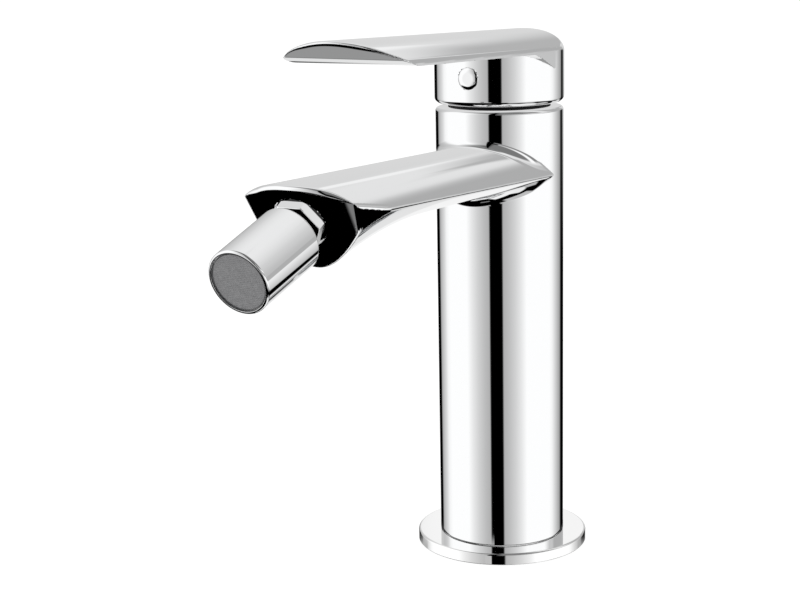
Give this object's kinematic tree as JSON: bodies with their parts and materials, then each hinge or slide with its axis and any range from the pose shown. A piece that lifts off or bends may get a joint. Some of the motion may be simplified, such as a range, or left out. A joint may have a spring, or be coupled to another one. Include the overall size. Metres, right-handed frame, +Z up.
{
  "type": "bidet mixer",
  "caption": "Deck-mounted single-lever bidet mixer: round column on a base plate, flat crowned lever and spout, and a spray nozzle on a ball joint.",
  "frame": {"origin": "centre of the base plate's passage, on the deck surface", "axes": "+Z up along the column, the spout and the lever point towards -Y, -X is the hot side"},
  "size_m": [0.06, 0.1863, 0.1844],
  "materials": {
    "chrome": "polished chrome plate",
    "brass": "machined",
    "steel": "plain",
    "rubber": "matte",
    "white_plastic": "moulded",
    "dark_plastic": "moulded",
    "ceramic": "lapped ceramic"
  },
  "bodies": {
    "body": {"mixer_body": "chrome", "base_flange": "chrome", "base_seal": "rubber", "stud_bush": "brass", "hot_inlet": "brass", "cold_inlet": "brass", "cartridge_seals": "rubber", "cartridge_base": "white_plastic", "fixed_disc": "ceramic", "cartridge_housing": "white_plastic", "cartridge_nut": "brass", "neck_ring": "dark_plastic", "ball_nipple": "chrome", "nipple_seal": "rubber"},
    "guide": {"spindle_guide": "white_plastic", "pivot_pin": "steel"},
    "lever": {"lever": "chrome", "spindle": "brass", "grub_screw": "steel", "indicator_plug": "chrome"},
    "disc": {"moving_disc": "ceramic", "disc_carrier": "white_plastic"},
    "liner": {"ball_liner": "white_plastic"},
    "cup": {"swivel_cup": "dark_plastic"},
    "nozzle": {"nozzle_casing": "chrome", "nozzle_washer": "rubber", "aerator_cage": "white_plastic", "aerator_screen": "steel"}
  },
  "joints": [
    {"name": "lever_swing", "type": "hinge", "parent": "body", "child": "guide", "pos_m": [0, 0, 0.16], "axis": [0, 0, 1], "range_deg": [-45, 45]},
    {"name": "lever_lift", "type": "hinge", "parent": "guide", "child": "lever", "pos_m": [0, 0, 0.16], "axis": [-1, 0, 0], "range_deg": [0, 20]},
    {"name": "disc_slide", "type": "slide", "parent": "guide", "child": "disc", "axis": [0, -1, 0], "range_m": [0, 0.00381]},
    {"name": "nozzle_pitch", "type": "hinge", "parent": "body", "child": "liner", "pos_m": [0, -0.13172, 0.12835], "axis": [1, 0, 0], "range_deg": [-3, 27]},
    {"name": "nozzle_sway", "type": "hinge", "parent": "liner", "child": "cup", "pos_m": [0, -0.13172, 0.12835], "axis": [0, -0.309, 0.9511], "range_deg": [-15, 15]},
    {"name": "nozzle_spin", "type": "hinge", "parent": "cup", "child": "nozzle", "pos_m": [0, -0.13172, 0.12835], "axis": [0, -0.9511, -0.309], "continuous": true}
  ],
  "couplings": [
    {"joint": "disc_slide", "follows": "lever_lift", "m_per_rad": 0.010914}
  ]
}
